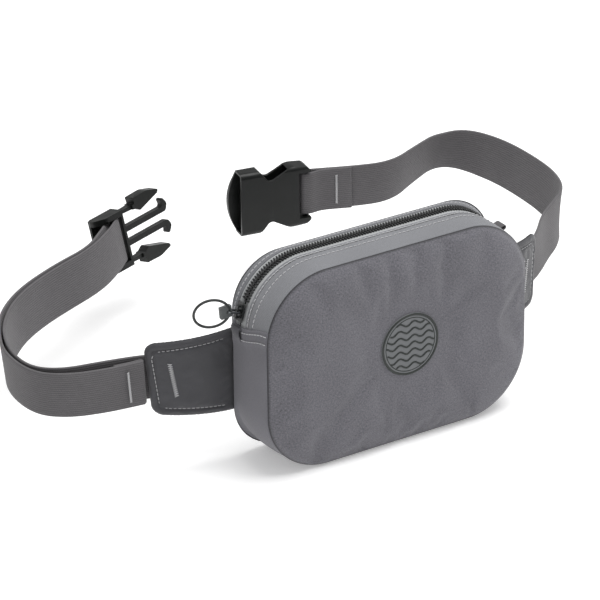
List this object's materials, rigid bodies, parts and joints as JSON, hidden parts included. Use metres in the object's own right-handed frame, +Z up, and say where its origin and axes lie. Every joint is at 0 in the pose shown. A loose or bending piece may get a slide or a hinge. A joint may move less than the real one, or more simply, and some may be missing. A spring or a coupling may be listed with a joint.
{
  "type": "zip-top belt bag",
  "caption": "Small zip-top waist bag of woven cloth with padded side wings, ribbed belt webbing and a side-release buckle.",
  "frame": {"origin": "middle of the bag's flat underside", "axes": "+Z up, +Y from the front panel to the back panel (towards the wearer), +X to the right seen from the front"},
  "size_m": [0.463, 0.2842, 0.1403],
  "materials": {
    "panel_cloth": "fine plain weave",
    "wing_cloth": "satin faced weave",
    "webbing": "ribbed elastic webbing",
    "zip_tape": "ribbed tape",
    "zip_coil": "moulded coil",
    "thread": "polyester thread",
    "foam": "closed-cell foam",
    "binding": "bias tape",
    "patch_rubber": "soft moulded rubber",
    "buckle_plastic": "moulded acetal",
    "slider_metal": "black enamel",
    "link_metal": "dark plated wire",
    "cord": "coated cord",
    "sleeve": "soft sleeve"
  },
  "bodies": {
    "bag": {"front_panel": "panel_cloth", "back_panel": "panel_cloth", "back_pad": "foam", "lower_gusset": "panel_cloth", "front_zip_band": "panel_cloth", "rear_zip_band": "panel_cloth", "zip_tape_front": "zip_tape", "zip_tape_rear": "zip_tape", "zip_chain_front": "zip_coil", "zip_chain_rear": "zip_coil", "front_binding": "binding", "rear_binding": "binding", "emblem_patch": "patch_rubber", "zip_end_tab_left": "binding", "zip_end_tab_right": "webbing"},
    "slider": {"zip_slider": "slider_metal"},
    "link": {"pull_link": "link_metal"},
    "pull": {"pull_cord": "cord", "pull_sleeve": "sleeve"},
    "left_belt": {"wing_left": "wing_cloth", "wing_tack_left": "thread", "belt_left": "webbing", "belt_tack_left": "thread"},
    "right_belt": {"wing_right": "wing_cloth", "wing_tack_right": "thread", "belt_right": "webbing", "belt_tack_right": "thread"},
    "buckle": {"buckle_frame": "buckle_plastic"},
    "upper_latch": {"latch_upper": "buckle_plastic"},
    "lower_latch": {"latch_lower": "buckle_plastic"},
    "socket": {"socket_case": "buckle_plastic"}
  },
  "joints": [
    {"name": "zip_travel", "type": "hinge", "parent": "bag", "child": "slider", "pos_m": [-0.055, 0.012, 0.095], "axis": [0, 1, 0], "range_deg": [0, 73]},
    {"name": "link_flip", "type": "hinge", "parent": "slider", "child": "link", "pos_m": [-0.10078, 0.012, 0.10856], "axis": [0, 1, 0], "range_deg": [-22, 45]},
    {"name": "pull_swing", "type": "hinge", "parent": "link", "child": "pull", "pos_m": [-0.10941, 0.012, 0.11112], "axis": [0, 1, 0], "range_deg": [-12, 22]},
    {"name": "left_wing_bend", "type": "hinge", "parent": "bag", "child": "left_belt", "pos_m": [-0.1, 0.0258, 0.061], "axis": [0, 0, 1], "range_deg": [-6, 15], "stiffness_Nm_per_rad": 1.5},
    {"name": "right_wing_bend", "type": "hinge", "parent": "bag", "child": "right_belt", "pos_m": [0.1, 0.0258, 0.061], "axis": [0, 0, 1], "range_deg": [-15, 6], "stiffness_Nm_per_rad": 1.5},
    {"name": "buckle_swivel", "type": "hinge", "parent": "left_belt", "child": "buckle", "pos_m": [-0.06482, 0.23454, 0.06054], "axis": [-0.1163, 0.1824, 0.9763], "range_deg": [-10, 15]},
    {"name": "upper_latch_squeeze", "type": "hinge", "parent": "buckle", "child": "upper_latch", "pos_m": [-0.05831, 0.24039, 0.07876], "axis": [-0.2656, 0.9415, -0.2075], "range_deg": [0, 9], "stiffness_Nm_per_rad": 1.2},
    {"name": "lower_latch_squeeze", "type": "hinge", "parent": "buckle", "child": "lower_latch", "pos_m": [-0.0541, 0.23379, 0.04342], "axis": [-0.2656, 0.9415, -0.2075], "range_deg": [-9, 0], "stiffness_Nm_per_rad": 1.2},
    {"name": "socket_swivel", "type": "hinge", "parent": "right_belt", "child": "socket", "pos_m": [0.08624, 0.23036, 0.061], "axis": [0, 0, 1], "range_deg": [-12, 12]}
  ]
}
